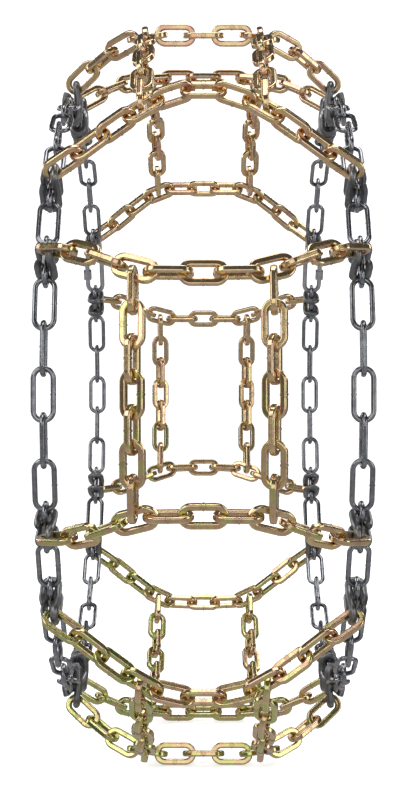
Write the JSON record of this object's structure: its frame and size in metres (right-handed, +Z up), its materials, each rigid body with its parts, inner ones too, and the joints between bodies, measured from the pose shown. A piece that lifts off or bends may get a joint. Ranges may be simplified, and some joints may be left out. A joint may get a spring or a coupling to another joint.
{
  "type": "tire snow chains",
  "caption": "Ladder-pattern traction chain net of square-bar cross and tread chains hooked to two round-wire side chains, laid out as it sits round a loader tire.",
  "frame": {"origin": "centre of the wheel that the net is fitted to", "axes": "+X along the wheel axis, -Y the front of the net, +Z up"},
  "size_m": [0.3478, 0.8752, 0.8617],
  "materials": {
    "gold_link": "yellow zinc chromate plating, champagne gold with pink and green iridescence",
    "side_link": "dark self-coloured steel, satin",
    "hook": "dark bent round bar, satin",
    "closing_hardware": "plain zinc plating"
  },
  "bodies": {
    "net": {"cross_chain_01": "gold_link", "cross_chain_02": "gold_link", "cross_chain_03": "gold_link", "cross_chain_04": "gold_link", "cross_chain_05": "gold_link", "cross_chain_06": "gold_link", "cross_chain_07": "gold_link", "cross_chain_08": "gold_link", "cross_chain_09": "gold_link", "cross_chain_10": "gold_link", "cross_chain_11": "gold_link", "cross_chain_12": "gold_link", "hooks_1": "hook", "hooks_2": "hook", "hooks_3": "hook", "hooks_4": "hook", "hooks_5": "hook", "hooks_6": "hook", "side_chain_left": "side_link", "side_chain_right": "side_link", "tread_chains_1": "gold_link", "tread_chains_2": "gold_link", "tread_chains_3": "gold_link", "tread_chains_4": "gold_link", "tread_chains_5": "gold_link", "tread_chains_6": "gold_link"},
    "centre_link_01": {"centre_link_01": "gold_link"},
    "centre_link_02": {"centre_link_02": "gold_link"},
    "centre_link_03": {"centre_link_03": "gold_link"},
    "centre_link_04": {"centre_link_04": "gold_link"},
    "centre_link_05": {"centre_link_05": "gold_link"},
    "centre_link_06": {"centre_link_06": "gold_link"},
    "centre_link_07": {"centre_link_07": "gold_link"},
    "centre_link_08": {"centre_link_08": "gold_link"},
    "centre_link_09": {"centre_link_09": "gold_link"},
    "centre_link_10": {"centre_link_10": "gold_link"},
    "centre_link_11": {"centre_link_11": "gold_link"},
    "centre_link_12": {"centre_link_12": "gold_link"},
    "gap_link_left_1": {"gap_link_left_1": "side_link"},
    "gap_link_left_2": {"gap_link_left_2": "side_link"},
    "gap_link_left_3": {"gap_link_left_3": "side_link"},
    "gap_link_left_4": {"gap_link_left_4": "side_link"},
    "gap_link_left_5": {"gap_link_left_5": "side_link"},
    "closing_link_left": {"closing_link_left": "closing_hardware"},
    "closing_sleeve_left": {"closing_sleeve_left": "closing_hardware"},
    "gap_link_right_1": {"gap_link_right_1": "side_link"},
    "gap_link_right_2": {"gap_link_right_2": "side_link"},
    "gap_link_right_3": {"gap_link_right_3": "side_link"},
    "gap_link_right_4": {"gap_link_right_4": "side_link"},
    "gap_link_right_5": {"gap_link_right_5": "side_link"},
    "closing_link_right": {"closing_link_right": "closing_hardware"},
    "closing_sleeve_right": {"closing_sleeve_right": "closing_hardware"}
  },
  "joints": [
    {"name": "centre_link_01_roll", "type": "hinge", "parent": "net", "child": "centre_link_01", "pos_m": [0, -0.41452, -0.11432], "axis": [1, 0, 0], "range_deg": [-10, 10]},
    {"name": "centre_link_02_roll", "type": "hinge", "parent": "net", "child": "centre_link_02", "pos_m": [0, -0.41452, 0.11432], "axis": [1, 0, 0], "range_deg": [-10, 10]},
    {"name": "centre_link_03_roll", "type": "hinge", "parent": "net", "child": "centre_link_03", "pos_m": [0, -0.29535, 0.31177], "axis": [1, 0, 0], "range_deg": [-10, 10]},
    {"name": "centre_link_04_roll", "type": "hinge", "parent": "net", "child": "centre_link_04", "pos_m": [0, -0.10042, 0.41811], "axis": [1, 0, 0], "range_deg": [-10, 10]},
    {"name": "centre_link_05_roll", "type": "hinge", "parent": "net", "child": "centre_link_05", "pos_m": [0, 0.11056, 0.41554], "axis": [1, 0, 0], "range_deg": [-10, 10]},
    {"name": "centre_link_06_roll", "type": "hinge", "parent": "net", "child": "centre_link_06", "pos_m": [0, 0.30776, 0.30031], "axis": [1, 0, 0], "range_deg": [-10, 10]},
    {"name": "centre_link_07_roll", "type": "hinge", "parent": "net", "child": "centre_link_07", "pos_m": [0, 0.41395, 0.11637], "axis": [1, 0, 0], "range_deg": [-10, 10]},
    {"name": "centre_link_08_roll", "type": "hinge", "parent": "net", "child": "centre_link_08", "pos_m": [0, 0.41515, -0.11203], "axis": [1, 0, 0], "range_deg": [-10, 10]},
    {"name": "centre_link_09_roll", "type": "hinge", "parent": "net", "child": "centre_link_09", "pos_m": [0, 0.30517, -0.30293], "axis": [1, 0, 0], "range_deg": [-10, 10]},
    {"name": "centre_link_10_roll", "type": "hinge", "parent": "net", "child": "centre_link_10", "pos_m": [0, 0.10686, -0.41651], "axis": [1, 0, 0], "range_deg": [-10, 10]},
    {"name": "centre_link_11_roll", "type": "hinge", "parent": "net", "child": "centre_link_11", "pos_m": [0, -0.10164, -0.41782], "axis": [1, 0, 0], "range_deg": [-10, 10]},
    {"name": "centre_link_12_roll", "type": "hinge", "parent": "net", "child": "centre_link_12", "pos_m": [0, -0.29831, -0.30969], "axis": [1, 0, 0], "range_deg": [-10, 10]},
    {"name": "gap_link_left_1_roll", "type": "hinge", "parent": "net", "child": "gap_link_left_1", "pos_m": [-0.158, -0.30181, 0.17425], "axis": [0, 0.5, 0.866], "range_deg": [-25, 25]},
    {"name": "gap_link_left_2_roll", "type": "hinge", "parent": "net", "child": "gap_link_left_2", "pos_m": [-0.158, 0, 0.3485], "axis": [0, 1, 0], "range_deg": [-25, 25]},
    {"name": "gap_link_left_3_roll", "type": "hinge", "parent": "net", "child": "gap_link_left_3", "pos_m": [-0.158, 0.30181, -0.17425], "axis": [0, -0.5, -0.866], "range_deg": [-25, 25]},
    {"name": "gap_link_left_4_roll", "type": "hinge", "parent": "net", "child": "gap_link_left_4", "pos_m": [-0.158, 0, -0.3485], "axis": [0, -1, 0], "range_deg": [-25, 25]},
    {"name": "gap_link_left_5_roll", "type": "hinge", "parent": "net", "child": "gap_link_left_5", "pos_m": [-0.158, -0.30181, -0.17425], "axis": [0, -0.5, 0.866], "range_deg": [-25, 25]},
    {"name": "closing_link_left_roll", "type": "hinge", "parent": "net", "child": "closing_link_left", "pos_m": [-0.158, 0.30181, 0.17425], "axis": [0, 0.5, -0.866], "range_deg": [-15, 15]},
    {"name": "closing_sleeve_left_slide", "type": "slide", "parent": "closing_link_left", "child": "closing_sleeve_left", "axis": [0, -0.5, 0.866], "range_m": [0, 0.009]},
    {"name": "gap_link_right_1_roll", "type": "hinge", "parent": "net", "child": "gap_link_right_1", "pos_m": [0.158, -0.30181, 0.17425], "axis": [0, 0.5, 0.866], "range_deg": [-25, 25]},
    {"name": "gap_link_right_2_roll", "type": "hinge", "parent": "net", "child": "gap_link_right_2", "pos_m": [0.158, 0, 0.3485], "axis": [0, 1, 0], "range_deg": [-25, 25]},
    {"name": "gap_link_right_3_roll", "type": "hinge", "parent": "net", "child": "gap_link_right_3", "pos_m": [0.158, 0.30181, -0.17425], "axis": [0, -0.5, -0.866], "range_deg": [-25, 25]},
    {"name": "gap_link_right_4_roll", "type": "hinge", "parent": "net", "child": "gap_link_right_4", "pos_m": [0.158, 0, -0.3485], "axis": [0, -1, 0], "range_deg": [-25, 25]},
    {"name": "gap_link_right_5_roll", "type": "hinge", "parent": "net", "child": "gap_link_right_5", "pos_m": [0.158, -0.30181, -0.17425], "axis": [0, -0.5, 0.866], "range_deg": [-25, 25]},
    {"name": "closing_link_right_roll", "type": "hinge", "parent": "net", "child": "closing_link_right", "pos_m": [0.158, 0.30181, 0.17425], "axis": [0, 0.5, -0.866], "range_deg": [-15, 15]},
    {"name": "closing_sleeve_right_slide", "type": "slide", "parent": "closing_link_right", "child": "closing_sleeve_right", "axis": [0, -0.5, 0.866], "range_m": [0, 0.009]}
  ]
}
